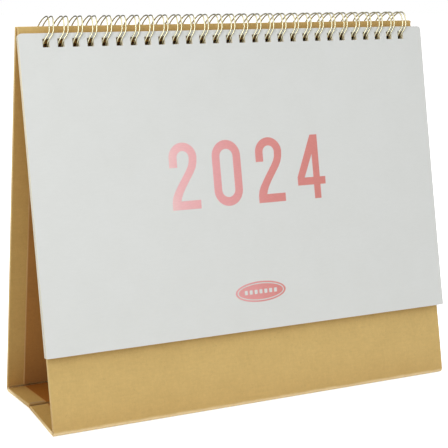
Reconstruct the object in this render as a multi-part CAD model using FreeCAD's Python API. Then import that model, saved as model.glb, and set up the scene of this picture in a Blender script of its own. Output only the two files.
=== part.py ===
import FreeCAD, Part
import math
import os

# Flip desk calendar: two panels lean together as a tent over a shallow folded base, and a
# double-loop wire along the ridge carries the leaves on the front panel. Millimetres and
# degrees, origin at the bottom centre, X along the spine, Y to the back, Z up.
# The front panel faces -Y.

os.makedirs("parts", exist_ok=True)

FRONT, BACK = -1, 1      # sign of Y
OVERCUT = 1.0            # cutters reach this far past what they cut

# Case. "Down" runs down a panel's slope and "out" along its outward normal, both from
# the wire axis.
LEAN = 10.8              # each panel's lean from vertical
BASE_RISE = 4.0          # each base half's rise from its crease to the middle
PANEL_WIDTH = 256.0
PANEL_LENGTH = 218.5     # along the slope
PAPER = 0.2              # wrap paper thickness
CORE = 2.0               # greyboard thickness
LINER_PROUD = 0.1        # liner stands above the turned-in wrap
TURN_TOP = 15.0          # wrap turned in on the inner face along the top
TURN_SIDE = 9.8          # wrap turned in along the sides
AXIS_DROP = 3.75         # wire axis below the panel tops, along the slope
LINER_OUT = 1.3          # wire axis out to each panel's inner (liner) face
CREASE_GAP = 0.1         # crease line to each liner face
CREASE_END = 0.3         # panel or base board edge to the crease line
BASE_BOARD_END = 29.0    # crease line to the far end of the base board
CENTRE_GAP = 0.06        # mitred base end to the centre plane
FLAT_OUTER = 1.2         # flat under the crease: reach from the crease line, outwards
FLAT_INNER = 0.36        # and towards the centre plane
CREASE_STEPS = 20

# Punching and wire
LOOPS = 28
PITCH = 25.4 / 3.0       # 3 loops to the inch
HOLE_WIDTH = 3.8
HOLE_HEIGHT = 4.5
HOLE_DOWN = 7.9          # panel hole centre
RING_RADIUS = 8.4        # loop centreline radius
WIRE_RADIUS = 0.45
PAIR = 2.4               # spacing of the two wires of a loop
LINK_ANGLE = -14.0       # angles about the axis: 0 is straight down, negative is frontward
TIP_ANGLE = -6.8         # loop tip, reached after a full turn
BEND = 0.55              # bend radius between link and loop
WIRE_TAIL = 1.5          # straight wire beyond the first and last bends

# Leaves
MONTHS = 12
LEAF_WIDTH = 259.2
LEAF_HEIGHT = 174.5
LEAF_THICK = 0.2
LEAF_GAP = 0.03
COVER_THICK = 0.35
FIRST_GAP = 0.25         # panel face to the last leaf
LEAF_TOP = 0.3           # down position of the leaf top edge
MARGIN_HEIGHT = 9.3      # perforated margin
LEAF_HOLE_TOP = 2.95     # leaf top edge to the top of its holes
LEAF_HOLE_HEIGHT = 4.8

# Foil on the cover
FOIL = 0.04              # foil thickness
NUMERAL_X = (-48.6, -21.7, 6.4, 33.3)   # left edge of each numeral
NUMERAL_DOWN = 101.6     # numeral baseline
NUMERAL_HEIGHT = 38.0
BADGE_X, BADGE_DOWN = 2.5, 152.7        # badge centre
BADGE_HALF_WIDTH, BADGE_HALF_HEIGHT = 16.4, 5.95
BLOCKS = 7               # raised blocks in a row on the badge
BLOCK_PITCH = 3.2
BLOCK_HALF_WIDTH, BLOCK_HALF_HEIGHT = 0.98, 1.23
BLOCK_START, BLOCK_END = 0.5, 1.6       # block depth range, in foil thicknesses

# Worked out from the sizes above
LEAN_RAD = math.radians(LEAN)
RISE_RAD = math.radians(BASE_RISE)
WRAP_IN = LINER_OUT + LINER_PROUD            # out position of the wrap's inner face
WRAP_OUT = WRAP_IN + CORE + 2 * PAPER        # out position of the panel's outer face
PANEL_TOP = -AXIS_DROP
PANEL_BOTTOM = PANEL_LENGTH - AXIS_DROP
CREASE_DOWN = PANEL_BOTTOM + CREASE_END
CREASE_OUT = LINER_OUT - CREASE_GAP
CREASE_WRAP = CREASE_GAP + LINER_PROUD       # crease line to the wrap's inner face
CREASE_RADIUS = CREASE_WRAP + CORE + 2 * PAPER   # also the crease line's height
CREASE_Y = CREASE_DOWN * math.sin(LEAN_RAD) + CREASE_OUT * math.cos(LEAN_RAD)
AXIS_Z = CREASE_RADIUS + CREASE_DOWN * math.cos(LEAN_RAD) - CREASE_OUT * math.sin(LEAN_RAD)
HALF_WIDTH = PANEL_WIDTH / 2
LOOP_X = [(i - (LOOPS - 1) / 2) * PITCH for i in range(LOOPS)]


# Frames: each maps a pair of local coordinates to (y, z).

def panel_frame(side):
    def place(down, out):
        y = down * math.sin(LEAN_RAD) + out * math.cos(LEAN_RAD)
        z = AXIS_Z - down * math.cos(LEAN_RAD) + out * math.sin(LEAN_RAD)
        return side * y, z
    return place


def base_frame(side):
    """Along runs from the crease line to the middle, below runs down through the board."""
    def place(along, below):
        y = CREASE_Y - along * math.cos(RISE_RAD) - below * math.sin(RISE_RAD)
        z = CREASE_RADIUS + along * math.sin(RISE_RAD) - below * math.cos(RISE_RAD)
        return side * y, z
    return place


def crease_frame(side):
    """Level frame on the crease line: outward from the centre plane, and up."""
    return lambda outward, up: (side * (CREASE_Y + outward), CREASE_RADIUS + up)


# Shape helpers

def polygon_face(points):
    return Part.Face(Part.makePolygon(points + points[:1]))


def prism(frame, outline, half_width, x_centre=0.0):
    """Extrude an outline in a frame along X, half_width each way from x_centre."""
    points = [FreeCAD.Vector(x_centre - half_width, *frame(a, b)) for a, b in outline]
    return polygon_face(points).extrude(FreeCAD.Vector(2 * half_width, 0, 0))


def slab(frame, a_start, a_end, b_start, b_end, half_width, x_centre=0.0):
    outline = [(a_start, b_start), (a_end, b_start), (a_end, b_end), (a_start, b_end)]
    return prism(frame, outline, half_width, x_centre)


def hole_row(frame, top, bottom, inner, outer):
    """Cutters for one hole per wire loop."""
    return Part.makeCompound(
        [slab(frame, top, bottom, inner, outer, HOLE_WIDTH / 2, x) for x in LOOP_X])


def arc_points(x_centre, y_centre, x_radius, y_radius, start, end, steps=16):
    angles = [math.radians(start + (end - start) * i / steps) for i in range(steps + 1)]
    return [(x_centre + x_radius * math.cos(angle), y_centre + y_radius * math.sin(angle))
            for angle in angles]


def save(name, shape):
    shape.exportStep("parts/%s.step" % name)


# Case

def build_panel(side, name):
    """Punched board in its wrap, with a liner over the turned-in edges."""
    frame = panel_frame(side)
    liner_half = HALF_WIDTH - TURN_SIDE
    liner_top = PANEL_TOP + TURN_TOP
    holes = hole_row(frame, HOLE_DOWN - HOLE_HEIGHT / 2, HOLE_DOWN + HOLE_HEIGHT / 2,
                     WRAP_IN - OVERCUT, WRAP_OUT + OVERCUT)
    core = slab(frame, PANEL_TOP + PAPER, PANEL_BOTTOM - PAPER,
                WRAP_IN + PAPER, WRAP_OUT - PAPER, HALF_WIDTH - PAPER)
    body = slab(frame, PANEL_TOP, PANEL_BOTTOM, WRAP_IN, WRAP_OUT, HALF_WIDTH)
    window = slab(frame, liner_top, PANEL_BOTTOM, WRAP_IN - OVERCUT, WRAP_IN + PAPER, liner_half)
    wrap = body.cut(core).cut(window)
    liner = slab(frame, liner_top, PANEL_BOTTOM - PAPER, LINER_OUT, WRAP_IN + PAPER, liner_half)
    save(name + "_board", core.cut(holes))
    save(name + "_wrap", wrap.cut(holes))
    save(name + "_liner", liner)


def build_crease_spine(side, name):
    """Wrap paper carried round the crease, flattened where it stands on the table."""
    def curve(radius):
        """From the panel's outward normal round to straight down, led in along the panel."""
        arc = arc_points(0, 0, radius, radius, LEAN, -90, CREASE_STEPS)
        y, z = arc[0]
        lead_in = (y - CREASE_END * math.sin(LEAN_RAD), z + CREASE_END * math.cos(LEAN_RAD))
        return lead_in, arc

    outer_lead, outer_arc = curve(CREASE_RADIUS)
    inner_lead, inner_arc = curve(CREASE_RADIUS - PAPER)
    outline = [outer_lead] + [point for point in outer_arc if point[0] > FLAT_OUTER]
    outline += [(FLAT_OUTER, -CREASE_RADIUS), (-FLAT_INNER, -CREASE_RADIUS),
                (-FLAT_INNER, PAPER - CREASE_RADIUS)]
    outline += inner_arc[::-1] + [inner_lead]
    save(name + "_crease_spine", prism(crease_frame(side), outline, HALF_WIDTH))


def build_base_half(side, name):
    """Wrapped base board with a liner on its upper face."""
    frame = base_frame(side)
    start, end = CREASE_END, BASE_BOARD_END
    liner_half = HALF_WIDTH - TURN_SIDE
    core = slab(frame, start, end, CREASE_WRAP + PAPER, CREASE_RADIUS - PAPER,
                HALF_WIDTH - PAPER)
    body = slab(frame, start, end, CREASE_WRAP, CREASE_RADIUS, HALF_WIDTH)
    window = slab(frame, start - OVERCUT, end + OVERCUT,
                  CREASE_WRAP - OVERCUT, CREASE_WRAP + PAPER, liner_half)
    liner = slab(frame, start, end, CREASE_GAP, CREASE_WRAP + PAPER, liner_half)
    save("base_%s_board" % name, core)
    save("base_%s_wrap" % name, body.cut(core).cut(window))
    save("base_%s_liner" % name, liner)


def build_mid_crease_leaf(side, name):
    """Inner end of a base half, mitred beside the centre plane."""
    def mitre(below):
        return (CREASE_Y - CENTRE_GAP - below * math.sin(RISE_RAD)) / math.cos(RISE_RAD)

    top, bottom = CREASE_WRAP, CREASE_RADIUS
    outline = [(BASE_BOARD_END, top), (mitre(top), top),
               (mitre(bottom), bottom), (BASE_BOARD_END, bottom)]
    save("mid_crease_%s_leaf" % name, prism(base_frame(side), outline, HALF_WIDTH))


# Wire

def ring_point(x, angle):
    turn = math.radians(angle)
    return FreeCAD.Vector(x, RING_RADIUS * math.sin(turn), AXIS_Z - RING_RADIUS * math.cos(turn))


def ring_tangent(angle):
    """Unit tangent towards decreasing angle, which climbs over the front."""
    turn = math.radians(angle)
    return FreeCAD.Vector(0, -math.cos(turn), -math.sin(turn))


def build_wire():
    """One continuous rod: straight links along X joined by hairpin loops."""
    half_pair = PAIR / 2
    start = LINK_ANGLE - math.degrees(BEND / RING_RADIUS)
    end = -360 + TIP_ANGLE + math.degrees(half_pair / RING_RADIUS)
    middle = 0.5 * (start + end)
    tip_reach = ring_tangent(end) * half_pair
    inset = BEND * (1 - math.sqrt(0.5))     # bend's midpoint from each of its tangents

    def link_point(x, rise):
        """Rise is measured from the link line towards the loop's start."""
        return ring_point(x, start) + ring_tangent(start) * (rise - BEND)

    def arc(first, via, last):
        return Part.Arc(first, via, last).toShape()

    first_bend = LOOP_X[0] - half_pair - BEND
    edges = [Part.makeLine(link_point(first_bend - WIRE_TAIL, 0), link_point(first_bend, 0))]
    for i, x in enumerate(LOOP_X):
        left, right = x - half_pair, x + half_pair
        link_start = right + BEND
        if i + 1 < LOOPS:
            link_end = LOOP_X[i + 1] - half_pair - BEND
        else:
            link_end = link_start + WIRE_TAIL
        edges += [
            arc(link_point(left - BEND, 0), link_point(left - inset, inset),
                ring_point(left, start)),
            arc(ring_point(left, start), ring_point(left, middle), ring_point(left, end)),
            arc(ring_point(left, end), ring_point(x, end) + tip_reach, ring_point(right, end)),
            arc(ring_point(right, end), ring_point(right, middle), ring_point(right, start)),
            arc(ring_point(right, start), link_point(right + inset, inset),
                link_point(link_start, 0)),
            Part.makeLine(link_point(link_start, 0), link_point(link_end, 0)),
        ]
    tail = edges[0].Vertexes[0].Point
    profile = Part.Wire([Part.makeCircle(WIRE_RADIUS, tail, FreeCAD.Vector(1, 0, 0))])
    save("wire_binding", Part.Wire(edges).makePipeShell([profile], True, False))


# Leaves and foil, all on the front panel

front_frame = panel_frame(FRONT)


def build_leaves():
    """Last month next to the panel, cover outermost. Returns the cover's out position."""
    stack = [("month_leaf_%02d" % month, LEAF_THICK) for month in range(MONTHS, 0, -1)]
    stack.append(("cover_leaf", COVER_THICK))
    face = WRAP_OUT + FIRST_GAP
    margin_end = LEAF_TOP + MARGIN_HEIGHT
    strips = []
    for name, thick in stack:
        inner, face = face, face + thick
        save(name, slab(front_frame, margin_end, LEAF_TOP + LEAF_HEIGHT,
                        inner, face, LEAF_WIDTH / 2))
        strips.append(slab(front_frame, LEAF_TOP, margin_end, inner, face, LEAF_WIDTH / 2))
        cover_face = face
        face += LEAF_GAP
    hole_top = LEAF_TOP + LEAF_HOLE_TOP
    holes = hole_row(front_frame, hole_top, hole_top + LEAF_HOLE_HEIGHT,
                     WRAP_OUT, cover_face + OVERCUT)
    save("leaf_binding_margins", Part.makeCompound([strip.cut(holes) for strip in strips]))
    return cover_face


def decal(outline, x_origin, down_origin, inner, outer, opening=None):
    """Flat figure on the cover; its points are (right, up the slope) from the origin."""
    normal = FreeCAD.Vector(0, -math.cos(LEAN_RAD), math.sin(LEAN_RAD))

    def solid(points):
        corners = [FreeCAD.Vector(x_origin + x, *front_frame(down_origin - y, inner))
                   for x, y in points]
        return polygon_face(corners).extrude(normal * (outer - inner))

    shape = solid(outline)
    return shape.cut(solid(opening)) if opening else shape


# Figure outlines: (right, up) from the left end of the baseline.
BOWL = 8.65              # outer radius of the two's bowl
BOWL_Y = NUMERAL_HEIGHT - BOWL
TWO = (
    [(0.2, 0), (17.9, 0), (17.9, 4.9), (5.7, 4.9), (6.2, 6.6), (7.2, 9.1), (9.2, 12.5),
     (12.2, 16.9), (14.6, 20.4), (16.2, 23.4), (17.0, 26.2)]
    + arc_points(BOWL, BOWL_Y, BOWL, BOWL, 0, 180)
    + [(0, 24.0), (4.9, 24.0)]
    + arc_points(BOWL, BOWL_Y, 3.75, 3.9, 180, 0)
    + [(12.2, 26.6), (11.4, 24.3), (9.9, 21.7), (7.6, 18.4), (4.6, 14.0), (2.2, 10.2),
       (0.8, 7.2), (0.2, 4.4)])
FOUR = [(10.8, 0), (15.2, 0), (15.2, 8.3), (18.9, 8.3), (18.9, 12.8), (15.2, 12.8),
        (15.2, NUMERAL_HEIGHT), (10.4, NUMERAL_HEIGHT), (0, 13.3), (0, 8.3), (10.8, 8.3)]
FOUR_OPENING = [(10.8, 12.8), (10.8, 26.6), (4.8, 12.8)]
ZERO_X, ZERO_Y = 9.1, 9.4    # centre of the zero's lower arc, and its outer radii


def zero_outline(x_radius, y_radius):
    return (arc_points(ZERO_X, NUMERAL_HEIGHT - ZERO_Y, x_radius, y_radius, 0, 180)
            + arc_points(ZERO_X, ZERO_Y, x_radius, y_radius, 180, 360))


def build_numerals(face):
    zero = (zero_outline(ZERO_X, ZERO_Y), zero_outline(4.2, 4.3))
    figures = [(TWO, None), zero, (TWO, None), (FOUR, FOUR_OPENING)]
    save("foil_numerals", Part.makeCompound(
        [decal(outline, x, NUMERAL_DOWN, face, face + FOIL, opening)
         for x, (outline, opening) in zip(NUMERAL_X, figures)]))


def build_badge(face):
    """Oval with a row of raised blocks."""
    oval = arc_points(0, 0, BADGE_HALF_WIDTH, BADGE_HALF_HEIGHT, 0, 360, 72)[:-1]
    badge = decal(oval, BADGE_X, BADGE_DOWN, face, face + FOIL)
    width, height = BLOCK_HALF_WIDTH, BLOCK_HALF_HEIGHT
    block = [(-width, -height), (width, -height), (width, height), (-width, height)]
    for i in range(BLOCKS):
        x = BADGE_X + (i - (BLOCKS - 1) / 2) * BLOCK_PITCH
        badge = badge.fuse(decal(block, x, BADGE_DOWN,
                                 face + BLOCK_START * FOIL, face + BLOCK_END * FOIL))
    save("foil_badge", badge)


for side, panel_name, base_name in ((FRONT, "front", "front"), (BACK, "back", "rear")):
    build_panel(side, panel_name)
    build_crease_spine(side, base_name)
    build_base_half(side, base_name)
    build_mid_crease_leaf(side, base_name)
build_wire()
cover_face = build_leaves()
build_numerals(cover_face)
build_badge(cover_face)
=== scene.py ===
"""Wire-bound desk calendar on a folding kraft stand.

The binding runs along x, the front faces -y, the rear +y, and the floor is z = 0.
Two wrapped panels lean together under the wire loops and fold at the feet into
a two-part base that rises to a crease at y = 0. Twelve month leaves and a
foil-printed cover hang on the front panel. Sizes are in mm; MM turns them into
metres. Material sizes are in metres.
"""
import math
from functools import partial

import bpy
import bmesh
from mathutils import Vector, Matrix


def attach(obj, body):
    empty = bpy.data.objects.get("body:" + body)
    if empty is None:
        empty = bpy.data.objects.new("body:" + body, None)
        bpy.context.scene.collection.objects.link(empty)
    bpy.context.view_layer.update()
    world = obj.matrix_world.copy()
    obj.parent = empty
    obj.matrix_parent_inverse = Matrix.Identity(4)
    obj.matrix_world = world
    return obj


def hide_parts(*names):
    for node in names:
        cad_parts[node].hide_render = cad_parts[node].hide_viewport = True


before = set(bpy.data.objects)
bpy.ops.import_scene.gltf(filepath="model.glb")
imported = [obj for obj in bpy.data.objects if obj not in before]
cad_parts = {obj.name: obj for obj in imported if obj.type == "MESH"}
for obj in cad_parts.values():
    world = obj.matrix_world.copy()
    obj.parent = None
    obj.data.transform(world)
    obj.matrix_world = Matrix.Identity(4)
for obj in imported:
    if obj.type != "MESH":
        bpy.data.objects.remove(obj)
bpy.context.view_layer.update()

# ---------------------------------------------------------------- dimensions, mm
MM = 0.001
FRONT, REAR = -1, 1               # sign of y for each side

LEAN = math.radians(10.8)         # panels, from the vertical
RISE = math.radians(4.0)          # base halves, from the floor
PANEL_HALF = 128.0                # half the width along x
PANEL_TOP, PANEL_BOTTOM = -3.75, 214.75
FOLD_R = 2.6                      # outside radius of the fold at each foot
FOOT_U, FOOT_V = 215.05, 1.2      # centre of that fold, in panel coordinates
PAPER_T = 0.2
BOARD_T = 2.4
BOARD_OUT = FOOT_V + FOLD_R
BOARD_IN = BOARD_OUT - BOARD_T
RING_Z = FOLD_R + FOOT_U * math.cos(LEAN) - FOOT_V * math.sin(LEAN)
FOOT_Y = FOOT_U * math.sin(LEAN) + FOOT_V * math.cos(LEAN)

TURN_TOP, TURN_SIDE = 15.0, 9.8   # wrap paper left bare around the liner
LINER_HALF = PANEL_HALF - TURN_SIDE

LOOPS = 28
PITCH = 25.4 / 3.0
LOOP_X = [(i - (LOOPS - 1) / 2.0) * PITCH for i in range(LOOPS)]
HOLE_W, HOLE_H, HOLE_U = 3.8, 4.5, 7.9

LEAF_HALF, LEAF_H = 129.6, 174.5
LEAF_TOP = 0.3
LEAF_BOTTOM = LEAF_TOP + LEAF_H
LEAF_T, LEAF_GAP, COVER_T = 0.2, 0.03, 0.35
LEAF_COUNT = 12
LEAF_HOLE_TOP = LEAF_TOP + 2.95
LEAF_HOLE_H = 4.8
STACK_START = BOARD_OUT + 0.25    # inner face of the innermost leaf


def panel_pt(side, x, u, v):
    """u runs down the panel from the ring centre, v out from its inner side."""
    y = u * math.sin(LEAN) + v * math.cos(LEAN)
    z = RING_Z - u * math.cos(LEAN) + v * math.sin(LEAN)
    return Vector((x * MM, side * y * MM, z * MM))


def base_pt(side, x, t, w):
    """t runs from the foot towards the middle, w down through the base."""
    y = -FOOT_Y + t * math.cos(RISE) + w * math.sin(RISE)
    z = FOLD_R + t * math.sin(RISE) - w * math.cos(RISE)
    return Vector((x * MM, -side * y * MM, z * MM))


def fold_pt(side, x, angle, radius):
    """Point on the rounded fold between a panel and its base half."""
    y = -FOOT_Y + radius * math.cos(angle)
    z = FOLD_R + radius * math.sin(angle)
    return Vector((x * MM, -side * y * MM, z * MM))


def evenly(start, end, steps):
    return [start + (end - start) * i / steps for i in range(steps + 1)]


def ease(value, start, span):
    """Smooth step from 0 at start to 1 at start + span."""
    t = max(0.0, min(1.0, (value - start) / span))
    return t * t * (3 - 2 * t)


# ---------------------------------------------------------------- shader graphs
def srgb(*rgb):
    def linear(c):
        c /= 255.0
        return c / 12.92 if c <= 0.04045 else ((c + 0.055) / 1.055) ** 2.4
    return (*map(linear, rgb), 1.0)


def scaled(colour, factor):
    return (*(min(1, c * factor) for c in colour[:3]), 1.0)


def grey(value):
    return (value, value, value, 1)


class Graph:
    """Short calls for building a node tree; colours and factors may be sockets."""

    def __init__(self, tree, coords):
        self.tree = tree
        self.coords = self.node("ShaderNodeTexCoord").outputs[coords]

    def node(self, kind, **settings):
        made = self.tree.nodes.new(kind)
        for key, value in settings.items():
            setattr(made, key, value)
        return made

    def feed(self, socket, value):
        if isinstance(value, bpy.types.NodeSocket):
            self.tree.links.new(value, socket)
        else:
            socket.default_value = value

    def axis(self, index):
        split = self.node("ShaderNodeSeparateXYZ")
        self.feed(split.inputs[0], self.coords)
        return split.outputs[index]

    def ramp(self, fac, stops):
        made = self.node("ShaderNodeValToRGB")
        elements = made.color_ramp.elements
        while len(elements) < len(stops):
            elements.new(0.5)
        for element, (position, colour) in zip(elements, stops):
            element.position = position
            element.color = colour
        self.feed(made.inputs["Fac"], fac)
        return made.outputs["Color"]

    def mix(self, a, b, fac, mode="MIX"):
        made = self.node("ShaderNodeMix", data_type="RGBA", blend_type=mode)
        self.feed(made.inputs[0], fac)
        self.feed(made.inputs[6], a)
        self.feed(made.inputs[7], b)
        return made.outputs[2]

    def math(self, op, *values, clamp=False):
        made = self.node("ShaderNodeMath", operation=op, use_clamp=clamp)
        for socket, value in zip(made.inputs, values):
            self.feed(socket, value)
        return made.outputs[0]


class Mat(Graph):
    """A material with one Principled shader, textured in object space."""

    def __init__(self, name):
        self.m = bpy.data.materials.new(name)
        self.m.use_nodes = True
        self.m.node_tree.nodes.clear()
        super().__init__(self.m.node_tree, "Object")
        out = self.node("ShaderNodeOutputMaterial")
        self.bsdf = self.node("ShaderNodeBsdfPrincipled")
        self.feed(out.inputs["Surface"], self.bsdf.outputs["BSDF"])

    def noise(self, scale, detail=3.0, rough=0.55, warp=0.0, vec=None):
        made = self.node("ShaderNodeTexNoise")
        made.inputs["Scale"].default_value = scale
        made.inputs["Detail"].default_value = detail
        made.inputs["Roughness"].default_value = rough
        made.inputs["Distortion"].default_value = warp
        self.feed(made.inputs["Vector"], vec or self.coords)
        return made.outputs["Fac"]

    def fibres(self, stretch, detail=3.0, rough=0.6, turn=(0, 0, 0), warp=0.0):
        """Noise with its own scale along each axis."""
        mapping = self.node("ShaderNodeMapping")
        mapping.inputs["Scale"].default_value = stretch
        mapping.inputs["Rotation"].default_value = turn
        self.feed(mapping.inputs["Vector"], self.coords)
        return self.noise(1.0, detail, rough, warp, mapping.outputs["Vector"])

    def tone(self, colour, fac, low, high, at=(0.3, 0.7), amount=1.0):
        """Multiply the colour by a ramp between two RGB tones."""
        ramp = self.ramp(fac, [(at[0], (*low, 1)), (at[1], (*high, 1))])
        return self.mix(colour, ramp, amount, "MULTIPLY")

    def mask(self, fac, low, high):
        return self.ramp(fac, [(low, grey(0)), (high, grey(1))])

    def edge_abrasion_and_highlight(self):
        """0 on flat faces, rising towards 1 along rounded edges; drives pale edges that are
        partly wear and partly painted highlight.
        """
        bevel = self.node("ShaderNodeBevel", samples=4)
        bevel.inputs["Radius"].default_value = 0.0006
        geometry = self.node("ShaderNodeNewGeometry")
        dot = self.node("ShaderNodeVectorMath", operation="DOT_PRODUCT")
        self.feed(dot.inputs[0], bevel.outputs["Normal"])
        self.feed(dot.inputs[1], geometry.outputs["Normal"])
        turned = self.math("SUBTRACT", 1.0, dot.outputs["Value"])
        return self.math("MULTIPLY", turned, 3.0, clamp=True)

    def bump(self, height, strength, distance):
        made = self.node("ShaderNodeBump")
        made.inputs["Strength"].default_value = strength
        made.inputs["Distance"].default_value = distance
        self.feed(made.inputs["Height"], height)
        self.set("Normal", made.outputs["Normal"])

    def set(self, name, value):
        self.feed(self.bsdf.inputs[name], value)

    def roughness(self, fac, amount, base):
        varied = self.math("MULTIPLY", fac, amount)
        self.set("Roughness", self.math("ADD", varied, base))


# ---------------------------------------------------------------- materials
WARM = (0.58, 0.36, 0.15)         # RGB factors for shaded wrap paper


def kraft(name, col, edge_col, fibre=1.0, rough=0.82, painted_floor_bounce=False, cut_x=None,
          abraded_edge_and_highlight=0.38, deep=0.75, sheen=0.12, spec=0.28, shade=(0.34, 0.26, 0.16)):
    """Kraft paper. fibre: contrast; edge amount: pale edges, partly wear and partly painted
    highlight; deep, shade: strength and tint of painted shade where the boards face each other;
    floor flag: painted bounce light, pale near the floor; cut_x: half width of a sheet with pale
    side edges, partly cut-edge wear and partly painted highlight."""
    m = Mat(name)
    long_f = m.fibres((140, 1500, 1100), warp=0.6)
    cross_f = m.fibres((1300, 520, 240), detail=2, rough=0.5, turn=(0, 0, 0.35), warp=0.8)
    mottle = m.noise(95.0, detail=4, rough=0.6)
    broad = m.noise(11.0, detail=2, rough=0.5)
    c = m.ramp(long_f, [(0.25, scaled(col, 1 - 0.085 * fibre)), (0.5, col),
                        (0.78, scaled(col, 1 + 0.08 * fibre))])
    cross = m.ramp(cross_f, [(0.28, scaled(col, 1 - 0.07 * fibre)), (0.55, col),
                             (0.8, scaled(col, 1 + 0.075 * fibre))])
    c = m.mix(c, cross, 0.45)
    c = m.tone(c, mottle, (0.955, 0.945, 0.925), (1.03, 1.03, 1.035), amount=0.8)
    c = m.tone(c, broad, (0.965, 0.96, 0.95), (1.02, 1.02, 1.02))
    grain = m.noise(520, detail=3, rough=0.6)
    c = m.tone(c, grain, (0.968, 0.966, 0.962), (1.024, 1.024, 1.026), at=(0.34, 0.66))
    fleck = m.fibres((700, 1600, 900), detail=1, rough=0.4, turn=(0, 0.2, 0.9), warp=1.2)
    c = m.mix(c, scaled(col, 0.72), m.math("MULTIPLY", m.mask(fleck, 0.70, 0.76), 0.45))
    # pale edges: partly wear, partly painted highlight
    c = m.mix(c, edge_col, m.math("MULTIPLY", m.edge_abrasion_and_highlight(), abraded_edge_and_highlight))
    # painted shade: darker tone where ambient occlusion finds the boards facing each other
    ao = m.node("ShaderNodeAmbientOcclusion")
    ao.samples = 6
    ao.inputs["Distance"].default_value = 0.07
    painted_shade = m.math("SUBTRACT", 0.72, ao.outputs["AO"], clamp=True)
    painted_shade = m.math("MULTIPLY", painted_shade, deep * 1.5, clamp=True)
    c = m.mix(c, (*(a * b for a, b in zip(col, shade)), 1.0), painted_shade)
    if painted_floor_bounce:
        # painted bounce light from the floor: a pale band that fades out between 1.6 and 3 mm
        # above the floor, with a ragged limit
        ragged = m.math("MULTIPLY", m.math("SUBTRACT", mottle, 0.5), 0.0012)
        height = m.math("ADD", m.axis(2), ragged)
        low = m.math("DIVIDE", m.math("SUBTRACT", 0.0030, height), 0.0014, clamp=True)
        c = m.mix(c, scaled(edge_col, 1.22), m.math("MULTIPLY", low, 0.9))
    if cut_x:
        # pale band along both side edges: partly cut-edge wear, partly painted highlight
        across = m.math("ABSOLUTE", m.axis(0), 0.0)
        cut = m.math("SUBTRACT", across, cut_x - 0.0008)
        cut = m.math("DIVIDE", cut, 0.0005, clamp=True)
        c = m.mix(c, edge_col, m.math("MULTIPLY", cut, 0.75))
    m.set("Base Color", c)
    m.roughness(long_f, amount=0.12, base=rough - 0.06)
    m.set("Specular IOR Level", spec)
    m.set("Sheen Weight", sheen)
    m.set("Sheen Roughness", 0.5)
    height = m.math("ADD", long_f, m.math("MULTIPLY", cross_f, 0.8))
    m.bump(height, strength=0.35, distance=0.00009)
    return m.m


def board_core():
    m = Mat("greyboard")
    pulp = m.noise(700, detail=4, rough=0.65)
    layers = m.fibres((60, 2500, 2500), detail=2, rough=0.5)
    c = m.ramp(pulp, [(0.3, srgb(17, 13, 8)), (0.55, srgb(29, 24, 15)),
                      (0.75, srgb(46, 39, 27))])
    m.set("Base Color", m.tone(c, layers, (0.85, 0.85, 0.85), (1.05, 1.05, 1.05)))
    m.set("Roughness", 0.93)
    m.bump(pulp, strength=0.6, distance=0.0002)
    return m.m


def paper(name, col, edge_col, tooth, rough):
    """Pale sheet; tooth scales the bump."""
    m = Mat(name)
    fine = m.noise(1900, detail=3, rough=0.6)
    fibre = m.fibres((260, 1500, 900), rough=0.55, turn=(0, 0.12, 0.2), warp=0.7)
    cloud = m.noise(60, detail=3, rough=0.5)
    broad = m.noise(7, detail=2, rough=0.5)
    c = m.ramp(fibre, [(0.25, scaled(col, 0.985)), (0.6, col), (0.85, scaled(col, 1.012))])
    c = m.tone(c, cloud, (0.988, 0.988, 0.985), (1.006, 1.006, 1.008))
    c = m.tone(c, broad, (0.99, 0.99, 0.988), (1.008, 1.008, 1.006), at=(0.3, 0.75))
    # pale edges: partly wear, partly painted highlight
    c = m.mix(c, edge_col, m.math("MULTIPLY", m.edge_abrasion_and_highlight(), 0.5))
    m.set("Base Color", c)
    m.roughness(fine, amount=0.1, base=rough - 0.05)
    m.set("Specular IOR Level", 0.3)
    m.set("Sheen Weight", 0.05)
    m.bump(m.math("ADD", fine, fibre), strength=0.16 * tooth, distance=0.00006)
    return m.m


def paper_edge(name, dark, light, top=None):
    """Cut edge with fine streaks, turning to the top colour towards the binding."""
    m = Mat(name)
    streaks = m.fibres((35, 900, 35))
    fine = m.noise(2600, detail=2, rough=0.6)
    c = m.ramp(streaks, [(0.3, dark), (0.7, light)])
    if top:
        # from 120 to 180 mm above the floor
        up = m.math("DIVIDE", m.math("SUBTRACT", m.axis(2), 0.120), 0.060, clamp=True)
        c = m.mix(c, m.ramp(streaks, [(0.3, scaled(top, 0.86)), (0.7, top)]), up)
    m.set("Base Color", m.tone(c, fine, (0.93, 0.93, 0.92), (1.04, 1.04, 1.03)))
    m.set("Roughness", 0.88)
    m.bump(fine, strength=0.3, distance=0.00006)
    return m.m


def wire_metal():
    m = Mat("champagne_wire")
    patches = m.noise(420, detail=3, rough=0.55)
    fine = m.noise(3200, detail=2, rough=0.6)
    weight = m.node("ShaderNodeLayerWeight")
    weight.inputs["Blend"].default_value = 0.5
    # painted shade: darker where the wire turns away from the eye; painted highlight: pale where
    # it faces the eye
    c = m.ramp(weight.outputs["Facing"], [
        (0.0, srgb(242, 238, 208)), (0.26, srgb(214, 206, 164)),
        (0.50, srgb(144, 136, 98)), (0.80, srgb(72, 68, 44))])
    c = m.tone(c, patches, (0.90, 0.89, 0.86), (1.05, 1.05, 1.04))
    scuff = m.mask(m.fibres((900, 500, 500), detail=4, rough=0.7), 0.66, 0.74)
    m.set("Base Color", m.mix(c, srgb(150, 134, 98), m.math("MULTIPLY", scuff, 0.2)))
    m.set("Metallic", 0.75)
    m.roughness(fine, amount=0.14, base=0.2)
    m.set("Coat Weight", 0.15)
    m.set("Coat Roughness", 0.12)
    m.bump(fine, strength=0.04, distance=0.00003)
    return m.m


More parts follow.
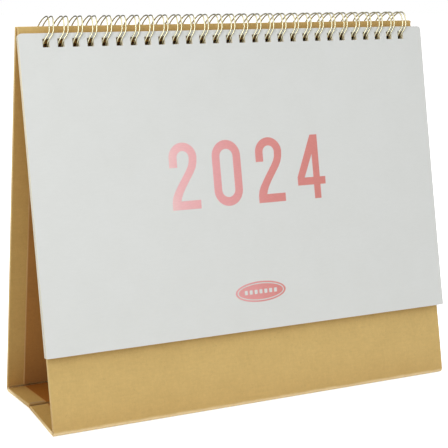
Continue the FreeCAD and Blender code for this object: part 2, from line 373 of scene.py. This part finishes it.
def foil():
    """Rose foil with a painted highlight: paler at -x and deeper at +x."""
    m = Mat("rose_foil")
    across = m.math("DIVIDE", m.math("ADD", m.axis(0), 0.052), 0.105, clamp=True)
    wobble = m.math("SUBTRACT", m.noise(22, detail=2, rough=0.5), 0.5)
    across = m.math("ADD", across, m.math("MULTIPLY", wobble, 0.14), clamp=True)
    c = m.ramp(across, [
        (0.0, srgb(253, 218, 214)), (0.10, srgb(251, 196, 197)), (0.30, srgb(243, 174, 175)),
        (0.60, srgb(232, 152, 147)), (1.0, srgb(226, 142, 134))])
    fine = m.fibres((500, 1600, 1600))
    m.set("Base Color", m.tone(c, fine, (0.965, 0.955, 0.955), (1.025, 1.03, 1.03)))
    m.set("Metallic", 0.25)
    m.roughness(fine, amount=0.12, base=0.26)
    m.set("Coat Weight", 0.25)
    m.set("Coat Roughness", 0.2)
    m.bump(fine, strength=0.08, distance=0.00003)
    return m.m


def floor_material():
    m = Mat("studio_floor")
    clouds = m.noise(3.0, detail=2, rough=0.5)
    m.set("Base Color", m.ramp(clouds, [(0.3, grey(0.93)), (0.7, grey(0.945))]))
    m.set("Roughness", 0.7)
    m.set("Specular IOR Level", 0.15)
    m.set("Emission Color", grey(1))
    # glows only as the camera sees it
    seen = m.node("ShaderNodeLightPath").outputs["Is Camera Ray"]
    m.set("Emission Strength", m.math("MULTIPLY", seen, 0.7))
    return m.m


KRAFT = kraft("kraft_wrap", srgb(208, 178, 113), srgb(226, 205, 158), fibre=0.8,
              painted_floor_bounce=True, deep=1.0, shade=WARM)
LINER = kraft("kraft_liner", srgb(176, 123, 58), srgb(206, 168, 112), fibre=1.15,
              rough=0.86, cut_x=LINER_HALF * MM, deep=0.62)
CORE = board_core()
COVER = paper("cover_card", srgb(217, 219, 216), srgb(232, 228, 212), tooth=1.0, rough=0.62)
LEAF = paper("leaf_paper", srgb(218, 219, 213), srgb(238, 232, 214), tooth=1.2, rough=0.74)
# month leaf edges, greyer than the cover's: partly the paper's edge colour, partly painted shade
# on the side of the stack
LEAF_EDGE = paper_edge("leaf_edge", srgb(190, 189, 176), srgb(222, 221, 210),
                       top=srgb(240, 222, 180))
# darker kraft for the faces at the middle crease: painted shade in the crease
CREASE = kraft("crease_kraft", srgb(172, 136, 80), srgb(172, 136, 80), rough=0.88,
               abraded_edge_and_highlight=0.0, deep=0.5)
TURN_IN = kraft("kraft_turn_in", srgb(204, 168, 98), srgb(222, 196, 142), fibre=0.9,
                painted_floor_bounce=True, deep=1.0, shade=WARM)
# darker copies of the turn-in and liner for the base: painted shade inside the tent
BASE_TURN_IN = kraft("kraft_turn_in_base", srgb(196, 158, 88), srgb(214, 184, 124),
                     fibre=0.9, deep=0.8, shade=WARM, sheen=0.02, spec=0.15)
BASE_LINER = kraft("kraft_liner_base", srgb(158, 98, 34), srgb(196, 150, 88), fibre=1.15,
                   rough=0.9, cut_x=LINER_HALF * MM, abraded_edge_and_highlight=0.0, sheen=0.0, spec=0.12,
                   deep=0.55)
COVER_EDGE = paper_edge("cover_edge", srgb(236, 222, 182), srgb(248, 238, 208))
WIRE = wire_metal()
FOIL = foil()


# ---------------------------------------------------------------- mesh helpers
def link_object(name, mesh):
    ob = bpy.data.objects.new(name, mesh)
    bpy.context.scene.collection.objects.link(ob)
    return ob


def finish_mesh(name, bm, mats, bevel=0.0, sharp=32.0):
    """Smooth-shaded object; edges above sharp degrees stay hard, bevel is in mm."""
    bmesh.ops.recalc_face_normals(bm, faces=bm.faces)
    mesh = bpy.data.meshes.new(name)
    bm.to_mesh(mesh)
    bm.free()
    for face in mesh.polygons:
        face.use_smooth = True
    mesh.set_sharp_from_angle(angle=math.radians(sharp))
    ob = link_object(name, mesh)
    for mat in mats:
        mesh.materials.append(mat)
    if bevel:
        mod = ob.modifiers.new("edge", "BEVEL")
        mod.width = bevel * MM
        mod.segments = 2
        mod.limit_method = "ANGLE"
        mod.angle_limit = math.radians(40)
        mod.harden_normals = True
    return ob


def register(ob, body, slot, *nodes):
    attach(ob, body)
    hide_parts(*nodes)


def grid_solid(name, rows, mats, holes=(), bevel=0.0, rim_slot=0):
    """Plate over a grid. rows holds (outer points, inner points) for each station;
    holes holds the open (row, column) cells, whose walls take material slot 1."""
    bm = bmesh.new()
    outer = [[bm.verts.new(p) for p in row[0]] for row in rows]
    inner = [[bm.verts.new(p) for p in row[1]] for row in rows]
    row_cells, col_cells = len(rows) - 1, len(rows[0][0]) - 1
    for r in range(row_cells):
        for c in range(col_cells):
            if (r, c) in holes:
                continue
            bm.faces.new((outer[r][c], outer[r][c + 1], outer[r + 1][c + 1], outer[r + 1][c]))
            bm.faces.new((inner[r][c], inner[r + 1][c], inner[r + 1][c + 1], inner[r][c + 1]))
            # neighbour cell, then the ends of the edge shared with it
            for near, (ra, ca), (rb, cb) in (
                    ((r - 1, c), (r, c), (r, c + 1)),
                    ((r + 1, c), (r + 1, c + 1), (r + 1, c)),
                    ((r, c - 1), (r + 1, c), (r, c)),
                    ((r, c + 1), (r, c + 1), (r + 1, c + 1))):
                within = 0 <= near[0] < row_cells and 0 <= near[1] < col_cells
                if within and near not in holes:
                    continue
                wall = bm.faces.new((outer[ra][ca], inner[ra][ca], inner[rb][cb], outer[rb][cb]))
                wall.material_index = 1 if within else rim_slot
    # joins the columns that meet at rounded corners
    bmesh.ops.remove_doubles(bm, verts=bm.verts, dist=1e-6)
    return finish_mesh(name, bm, mats, bevel=bevel)


def punched_columns(half):
    """x stations of a punched sheet, and the columns its holes fall in."""
    xs = [-half, -half + 1.0, -122.0]
    columns = []
    for x in LOOP_X:
        columns.append(len(xs))
        xs += [x - HOLE_W / 2, x + HOLE_W / 2]
    return xs + [122.0, half - 1.0, half], columns


def plain_columns(half, step):
    middle = [(i - 5) * step for i in range(11)]
    return [-half, -half + 1.0] + middle + [half - 1.0, half]


# ---------------------------------------------------------------- wrapped panels
def wrapped_panel(side, name, body, *nodes):
    """Punched board in its wrap, with the paper rolled under at the foot."""
    xs, columns = punched_columns(PANEL_HALF)
    us = [PANEL_TOP, PANEL_TOP + 1.2, HOLE_U - HOLE_H / 2, HOLE_U + HOLE_H / 2,
          13.0, 40.0, 80.0, 120.0, 160.0, 190.0, PANEL_BOTTOM - 1.0, PANEL_BOTTOM]

    def taper(x, u):
        """Draws in the front panel's +x edge, most at the top."""
        if side == REAR or x < 121.0:
            return x
        return x - 3.1 * (x - 116.0) / 12.0 * max(0.0, 1.0 - (u - PANEL_TOP) / 190.0)

    rows = [[[panel_pt(side, taper(x, u), u, v) for x in xs] for v in (BOARD_OUT, BOARD_IN)]
            for u in us]
    # from the panel's outer face to just past the lowest point
    rows += [[[fold_pt(side, x, angle, r) for x in xs] for r in (FOLD_R, FOLD_R - PAPER_T)]
             for angle in evenly(math.pi - LEAN, 1.5 * math.pi + 0.03, 14)]
    ob = grid_solid(name, rows, [KRAFT, CORE, TURN_IN], {(2, c) for c in columns}, bevel=0.32)
    for face in ob.data.polygons:
        inward = face.normal.y * side < -0.8
        if face.material_index == 0 and inward and face.center.z > 0.004:
            face.material_index = 2
    register(ob, body, "kraft_wrap", *nodes)


wrapped_panel(FRONT, "front_wrapped_board", "front_stand",
              "front_wrap", "front_board", "front_crease_spine")
wrapped_panel(REAR, "back_wrapped_board", "back_panel",
              "back_wrap", "back_board", "rear_crease_spine")


# ---------------------------------------------------------------- base halves
def wrapped_base(side, name, body, nodes, last_t, crease, bevel):
    """crease: (distance from the middle edge, drop of the upper face) per row."""
    xs = plain_columns(PANEL_HALF, 22)
    top, under = FOLD_R - BOARD_T, FOLD_R
    clearance = 0.05

    def middle_t(w):
        return (FOOT_Y - clearance - w * math.sin(RISE)) / math.cos(RISE)

    rows = [[[base_pt(side, x, t, w) for x in xs] for w in (under, top)]
            for t in (0.3, 1.3, 8.0, 16.0, 24.0, 32.0, last_t)]
    rows += [[[base_pt(side, x, middle_t(w) - back, w) for x in xs] for w in (under, top + drop)]
             for back, drop in crease]
    ob = grid_solid(name, rows, [KRAFT, CREASE, BASE_TURN_IN], bevel=bevel)
    for face in ob.data.polygons:
        at = face.center
        if face.normal.z > 0.8:
            face.material_index = 2
        # painted shade: faces at the middle crease take the darker crease kraft
        if abs(at.y) < 0.0036 and at.z > 0.0035 and abs(at.x) < PANEL_HALF * MM - 0.0006:
            face.material_index = 1
    register(ob, body, "kraft_wrap", *nodes)


# the front half dips into the crease, the rear half's edge stands up beside it
wrapped_base(FRONT, "base_front_wrapped_board", "base_front",
             ["base_front_board", "base_front_wrap", "mid_crease_front_leaf"],
             last_t=36.5, crease=((3.4, 0.0), (2.3, 0.45), (1.2, 1.25), (0.0, 1.9)), bevel=0.2)
wrapped_base(REAR, "base_rear_wrapped_board", "base_rear",
             ["base_rear_board", "base_rear_wrap", "mid_crease_rear_leaf"],
             last_t=39.0, crease=((1.6, 0.0), (0.8, 0.0), (0.35, 0.12), (0.0, 0.4)), bevel=0.3)


# ---------------------------------------------------------------- liners
def liner(name, body, node, point, stations, depths, phase, mat, dip_span=1.0, dip=0.0):
    """Pasted sheet with slightly wavy side edges. point(x, station, depth) places it;
    over the last dip_span its depth grows by dip."""
    def wavy(x, s):
        k = phase + (1 if x > 0 else 0)
        wave = 0.16 * math.sin(s * 0.071 + k) + 0.09 * math.sin(s * 0.19 + 2.1 * k)
        return x + math.copysign(wave, x) * (abs(x) / LINER_HALF) ** 8

    xs = plain_columns(LINER_HALF, 21)
    rows = []
    for s in stations:
        extra = dip * ease(s, stations[-1] - dip_span, dip_span)
        rows.append([[point(wavy(x, s), s, depth + extra) for x in xs] for depth in depths])
    register(grid_solid(name, rows, [mat], bevel=0.04), body, "kraft_liner", node)


panel_stations = evenly(PANEL_TOP + TURN_TOP, PANEL_BOTTOM - 0.3, 40)
for side, name, body, node, phase in (
        (FRONT, "front_liner_sheet", "front_stand", "front_liner", -0.6),
        (REAR, "back_liner_sheet", "back_panel", "back_liner", 1.4)):
    liner(name, body, node, partial(panel_pt, side), panel_stations,
          (BOARD_IN + 0.05, 1.28), phase, LINER)

# finer stations next to the crease
BASE_LINER_END = FOOT_Y / math.cos(RISE) - 0.08
FINE_START = BASE_LINER_END - 3.6
base_stations = (evenly(0.4, FINE_START, 32) + evenly(FINE_START, BASE_LINER_END, 8)[1:])
for side, part, phase, dip_span, dip in ((FRONT, "base_front", 1.4, 3.4, 1.9),
                                         (REAR, "base_rear", 3.4, 0.5, 0.3)):
    liner(part + "_liner_sheet", part, part + "_liner", partial(base_pt, side),
          base_stations, (0.24, 0.08), phase, BASE_LINER, dip_span, dip)


# ---------------------------------------------------------------- leaves
def bow(x, u, k):
    """Outward bow of a hanging leaf; k is 0 for the innermost, 1 for the cover."""
    s = max(0.0, (u - 9.0) / 166.0)
    return (0.15 + 0.55 * k) * s * s + 0.35 * k * s ** 3 * (abs(x) / 130.0) ** 3


def trimmed(x, u):
    """Clips x to the sheet outline with rounded corners."""
    below_top, above_bottom = u - LEAF_TOP, LEAF_BOTTOM - u
    radius = 0.6 if above_bottom < below_top else 2.0
    inset = min(below_top, above_bottom)
    limit = LEAF_HALF
    if inset < radius:
        limit -= radius - math.sqrt(max(0.0, radius ** 2 - (radius - inset) ** 2))
    return math.copysign(min(abs(x), limit), x)


LEAF_XS, LEAF_COLUMNS = punched_columns(LEAF_HALF)
EDGE_STEPS = (0.0, 0.15, 0.5, 1.1, 2.0)   # stations in from the top and bottom edges
LEAF_MIDDLE = [12.0, 22.0, 40.0, 60.0, 80.0, 100.0, 120.0, 140.0, 155.0, 168.0]


def hanging_sheet(index, node, v_in, v_out):
    """One sheet of the stack, index 0 innermost."""
    cover = node == "cover_leaf"
    k = index / LEAF_COUNT
    # each month leaf sits a hair off its neighbour
    shift = 0.0 if cover else 0.07 * math.sin(index * 2.3)
    # the perforated margin is pressed thin, from the inside on the cover only
    thin_in, thin_out = (0.13, 0.0) if cover else (0.0, 0.06)
    us = [LEAF_TOP + step for step in EDGE_STEPS]
    us += [LEAF_HOLE_TOP, LEAF_HOLE_TOP + LEAF_HOLE_H - 0.06 * k] + LEAF_MIDDLE
    us += [LEAF_BOTTOM - step for step in reversed(EDGE_STEPS)]
    rows = []
    for u in us:
        thin = max(0.0, min(1.0, (9.0 - u) / 2.7))
        rows.append([[panel_pt(FRONT, trimmed(x, u) + shift, u, v + bow(x, u, k))
                      for x in LEAF_XS]
                     for v in (v_out - thin_out * thin, v_in + thin_in * thin)])
    mats = [COVER if cover else LEAF, COVER_EDGE if cover or index < 3 else LEAF_EDGE]
    holes = {(len(EDGE_STEPS), c) for c in LEAF_COLUMNS}
    return grid_solid(node + "_sheet", rows, mats, holes, rim_slot=1)


stack_v = STACK_START
for index in range(LEAF_COUNT):
    number = "%02d" % (LEAF_COUNT - index)
    node = "month_leaf_" + number
    ob = hanging_sheet(index, node, stack_v, stack_v + LEAF_T)
    register(ob, "sheet_" + number, "leaf_paper", node)
    stack_v += LEAF_T + LEAF_GAP
COVER_FACE = stack_v + COVER_T
ob = hanging_sheet(LEAF_COUNT, "cover_leaf", stack_v, COVER_FACE)
register(ob, "cover", "cover_card", "cover_leaf", "leaf_binding_margins")


# ---------------------------------------------------------------- foil numerals and badge
def arc(cx, cy, rx, ry, start, end, steps=28):
    return [(cx + rx * math.cos(math.radians(d)), cy + ry * math.sin(math.radians(d)))
            for d in evenly(start, end, steps)]


def zero_loop(rx, ry):
    return arc(9.1, 28.6, rx, ry, 0, 180) + arc(9.1, 9.4, rx, ry, 180, 360)


# outlines as (x, height) from the digit's lower left
TWO = [
    (0.2, 0), (17.9, 0), (17.9, 4.9), (5.7, 4.9), (6.2, 6.6), (7.2, 9.1), (9.2, 12.5),
    (12.2, 16.9), (14.6, 20.4), (16.2, 23.4), (17.0, 26.2),
    *arc(8.65, 29.35, 8.65, 8.65, 0, 180),
    (0, 24.0), (4.9, 24.0),
    *arc(8.65, 29.35, 3.75, 3.9, 180, 0),
    (12.2, 26.6), (11.4, 24.3), (9.9, 21.7), (7.6, 18.4), (4.6, 14.0), (2.2, 10.2),
    (0.8, 7.2), (0.2, 4.4)]
FOUR_OUTER = [
    (10.8, 0), (15.2, 0), (15.2, 8.3), (18.9, 8.3), (18.9, 12.8), (15.2, 12.8),
    (15.2, 38), (10.4, 38), (0, 13.3), (0, 8.3), (10.8, 8.3)]
FOUR_INNER = [(10.8, 12.8), (10.8, 26.6), (4.8, 12.8)]
BASELINE_U = 101.6
DIGITS = (  # loops, x of the left edge
    ([TWO], -48.6),
    ([zero_loop(9.1, 9.4), zero_loop(4.2, 4.3)], -21.7),
    ([TWO], 6.4),
    ([FOUR_OUTER, FOUR_INNER], 33.3))
FOIL_SINK, FOIL_RISE = -0.02, 0.05   # foil's two faces, from the cover's face


def foil_shape(name, loops, x0, u0, node):
    """Fills the loops as a flat curve, then bends the result onto the cover."""
    curve = bpy.data.curves.new(name, "CURVE")
    curve.dimensions = "2D"
    curve.fill_mode = "BOTH"
    curve.extrude = 0.5
    for loop in loops:
        points = []
        for p in loop:
            if not points or math.dist(p, points[-1]) > 0.02:
                points.append(p)
        if math.dist(points[0], points[-1]) < 0.02:
            points.pop()
        spline = curve.splines.new("POLY")
        spline.points.add(len(points) - 1)
        for target, (x, y) in zip(spline.points, points):
            target.co = (x, y, 0, 1)
        spline.use_cyclic_u = True
    flat = link_object(name + "_tmp", curve)
    depsgraph = bpy.context.evaluated_depsgraph_get()
    filled = bpy.data.meshes.new_from_object(flat.evaluated_get(depsgraph))
    bpy.data.objects.remove(flat)
    bm = bmesh.new()
    bm.from_mesh(filled)
    bmesh.ops.remove_doubles(bm, verts=bm.verts, dist=1e-4)
    bmesh.ops.triangulate(bm, faces=[f for f in bm.faces if len(f.verts) > 4])
    for vert in bm.verts:
        x, u = x0 + vert.co.x, u0 - vert.co.y
        lift = FOIL_RISE if vert.co.z > 0 else FOIL_SINK
        vert.co = panel_pt(FRONT, x, u, COVER_FACE + bow(x, u, 1.0) + lift)
    bmesh.ops.recalc_face_normals(bm, faces=bm.faces)
    mesh = bpy.data.meshes.new(name)
    bm.to_mesh(mesh)
    bm.free()
    mesh.materials.append(FOIL)
    register(link_object(name, mesh), "cover", "rose_foil", node)


def badge_loops():
    """Oval ring with a solid oval inside, pierced by seven rounded windows."""
    rx, ry = 16.4, 5.95
    loops = [arc(0, 0, rx - inset_x, ry - inset_y, 0, 360, 96)
             for inset_x, inset_y in ((0, 0), (1.15, 0.85), (1.85, 1.45))]
    pitch, half_w, half_h, radius = 3.2, 0.98, 1.23, 0.3
    for k in range(7):
        window = []
        for sx, sy, start in ((1, 1, 0), (-1, 1, 90), (-1, -1, 180), (1, -1, 270)):
            window += arc((k - 3) * pitch + sx * (half_w - radius), sy * (half_h - radius),
                          radius, radius, start, start + 90, 4)
        loops.append(window)
    return loops


for number, (loops, x0) in enumerate(DIGITS, 1):
    foil_shape("foil_numeral_%d" % number, loops, x0, BASELINE_U, "foil_numerals")
foil_shape("foil_badge_oval", badge_loops(), 2.5, 152.7, "foil_badge")

# ---------------------------------------------------------------- double-loop wire
RING_R = 8.4
WIRE_R = 0.41
PAIR_HALF = 1.2                   # half the gap between a loop's two strands
LINK_BEND = 0.55                  # bend radius where strands turn along the spine
LINK_DEG, TIP_DEG = -14.0, -6.8   # ring angles, 0 at the bottom, negative to the front
WIRE_TAIL = 1.5


def ring_pt(x, deg):
    a = math.radians(deg)
    return Vector((x, RING_R * math.sin(a), RING_Z - RING_R * math.cos(a)))


def ring_dir(deg):
    """Direction of travel as the ring angle decreases."""
    a = math.radians(deg)
    return Vector((0, -math.cos(a), -math.sin(a)))


def closed_shape(p, centre, i):
    """Closed loops stand a little tall, lean to +x and open out above the holes."""
    phi = abs(math.degrees(math.atan2(p.y, RING_Z - p.z)))   # 0 bottom, 180 crown
    open_up = ease(phi, 62.0, 44.0)
    top = ease(phi, 96.0, 84.0)
    foot_lean, crown_lean = 1.95, 2.3
    lean = foot_lean + 0.5 * math.exp(-i / 1.6) + 0.14 * math.sin(i * 1.7)
    spread = 1.0 + 0.12 * open_up
    if p.y < 0:
        lean = (lean + crown_lean * top + 0.75 * (1.0 - top)) * open_up
        spread -= 0.18 * open_up * (1.0 - top)
    else:
        # the rear half runs up to the crown in one sweep
        lean = (lean + crown_lean) * ease(phi, 58.0, 122.0)
    rise = 1.25 * open_up * max(0.0, -math.cos(math.radians(phi))) ** 0.8
    return Vector((centre + (p.x - centre) * spread + lean,
                   p.y * (1 - 0.02 * open_up), p.z + rise))


def wire_path():
    """Per loop: bend out of the link, strand over, U-tip, strand back, bend into the link."""
    start = LINK_DEG - math.degrees(LINK_BEND / RING_R)
    end = -360 + TIP_DEG + math.degrees(PAIR_HALF / RING_R)
    start_dir, end_dir = ring_dir(start), ring_dir(end)
    along = Vector((1, 0, 0))
    link = ring_pt(0, start) - start_dir * LINK_BEND
    reach = PAIR_HALF + LINK_BEND
    quarter = evenly(0, math.pi / 2, 5)

    def strand(x, centre, i):
        return [closed_shape(ring_pt(x, deg), centre, i) for deg in evenly(start, end, 56)[1:-1]]

    pts = [link + along * (LOOP_X[0] - reach - WIRE_TAIL)]
    for i, x in enumerate(LOOP_X):
        turn = link + along * (x - reach) + start_dir * LINK_BEND
        pts += [turn + along * (LINK_BEND * math.sin(a)) - start_dir * (LINK_BEND * math.cos(a))
                for a in quarter]
        pts += strand(x - PAIR_HALF, x, i)
        tip = ring_pt(x, end)
        pts += [tip - along * (PAIR_HALF * math.cos(a)) + end_dir * (PAIR_HALF * math.sin(a))
                for a in evenly(0, math.pi, 10)]
        pts += reversed(strand(x + PAIR_HALF, x, i))
        turn = link + along * (x + reach) + start_dir * LINK_BEND
        pts += [turn - along * (LINK_BEND * math.cos(a)) - start_dir * (LINK_BEND * math.sin(a))
                for a in quarter]
    return pts + [link + along * (LOOP_X[-1] + reach + WIRE_TAIL)]


def tube(name, path, radius, mat, sides=12):
    pts = [path[0]]
    for p in path[1:]:
        if (p - pts[-1]).length > 0.03:
            pts.append(p)
    bm = bmesh.new()
    last = len(pts) - 1
    normal = Vector((0, 0, 1))
    rings = []
    for i, p in enumerate(pts):
        tangent = (pts[min(i + 1, last)] - pts[max(i - 1, 0)]).normalized()
        # carried along the path so the tube does not twist
        normal = (normal - tangent * normal.dot(tangent)).normalized()
        across = tangent.cross(normal)
        angles = [2 * math.pi * k / sides for k in range(sides)]
        rings.append([bm.verts.new(
            (p + (normal * math.cos(a) + across * math.sin(a)) * radius) * MM) for a in angles])
    for ring, following in zip(rings, rings[1:]):
        for k in range(sides):
            n = (k + 1) % sides
            bm.faces.new((ring[k], ring[n], following[n], following[k]))
    bm.faces.new(rings[0])
    bm.faces.new(rings[-1][::-1])
    return finish_mesh(name, bm, [mat], sharp=50)


register(tube("wire_double_loops", wire_path(), WIRE_R, WIRE),
         "front_stand", "champagne_wire", "wire_binding")


# ---------------------------------------------------------------- stage, metres
def build_floor():
    floor_mat = floor_material()
    bm = bmesh.new()
    bmesh.ops.create_circle(bm, cap_ends=True, segments=96, radius=9.0)
    floor = finish_mesh("studio_floor_disc", bm, [floor_mat], sharp=60)
    floor.location.z = -0.0002


def build_world():
    """White to the camera, banded to reflections, even grey to everything else."""
    world = bpy.data.worlds.new("studio")
    bpy.context.scene.world = world
    world.use_nodes = True
    g = Graph(world.node_tree, "Generated")
    background = world.node_tree.nodes["Background"]
    # height from 0 straight down to 1 straight up, and its brightness
    height = g.math("MULTIPLY_ADD", g.axis(2), 0.5, 0.5)
    bands = g.ramp(height, [(0.0, grey(0.55)), (0.47, grey(0.16)), (0.56, grey(0.10)),
                            (0.66, grey(0.75)), (0.80, grey(1.25)), (1.0, grey(1.35))])
    rays = g.node("ShaderNodeLightPath").outputs
    colour = g.mix((0.54, 0.54, 0.545, 1), bands, rays["Is Glossy Ray"])
    colour = g.mix(colour, grey(1.0), rays["Is Camera Ray"])
    g.feed(background.inputs["Color"], colour)
    background.inputs["Strength"].default_value = 1.0


def softbox(name, loc, target, size, power):
    light = bpy.data.lights.new(name, "AREA")
    light.shape = "RECTANGLE"
    light.size = light.size_y = size
    light.energy = power
    light.color = (1, 1, 1)
    ob = link_object(name, light)
    ob.location = loc
    ob.rotation_euler = (Vector(target) - Vector(loc)).to_track_quat("-Z", "Y").to_euler()


def build_camera():
    """Looks from the front left, slightly down."""
    azimuth, down, roll = (math.radians(d) for d in (26.3766, 11.0760, -0.0383))
    position = Vector((-324.10, -646.414, 240.370)) * MM
    forward = Vector((math.sin(azimuth) * math.cos(down),
                      math.cos(azimuth) * math.cos(down), -math.sin(down)))
    level = Vector((math.cos(azimuth), -math.sin(azimuth), 0))
    upright = level.cross(forward)
    right = level * math.cos(roll) + upright * math.sin(roll)
    up = -level * math.sin(roll) + upright * math.cos(roll)
    data = bpy.data.cameras.new("camera")
    data.sensor_width = 36.0
    data.sensor_fit = "HORIZONTAL"
    data.lens = 98.426652
    data.clip_start = 0.01
    data.clip_end = 50
    camera = bpy.data.objects.new("camera", data)
    turn = Matrix((right, up, -forward)).transposed()
    camera.matrix_world = Matrix.Translation(position) @ turn.to_4x4()
    bpy.context.scene.collection.objects.link(camera)
    bpy.context.scene.camera = camera


build_floor()
build_world()
softbox("key_softbox", loc=(-0.84, -0.73, 0.757), target=(0, 0, 0.1), size=0.8, power=6.5)
softbox("top_softbox", loc=(0.1, 0.2, 1.9), target=(0, 0, 0), size=2.0, power=14.0)
softbox("fill_softbox", loc=(1.5, -0.8, 0.7), target=(0, 0, 0.1), size=0.9, power=0.3)
build_camera()
bpy.context.scene.view_settings.view_transform = "Standard"
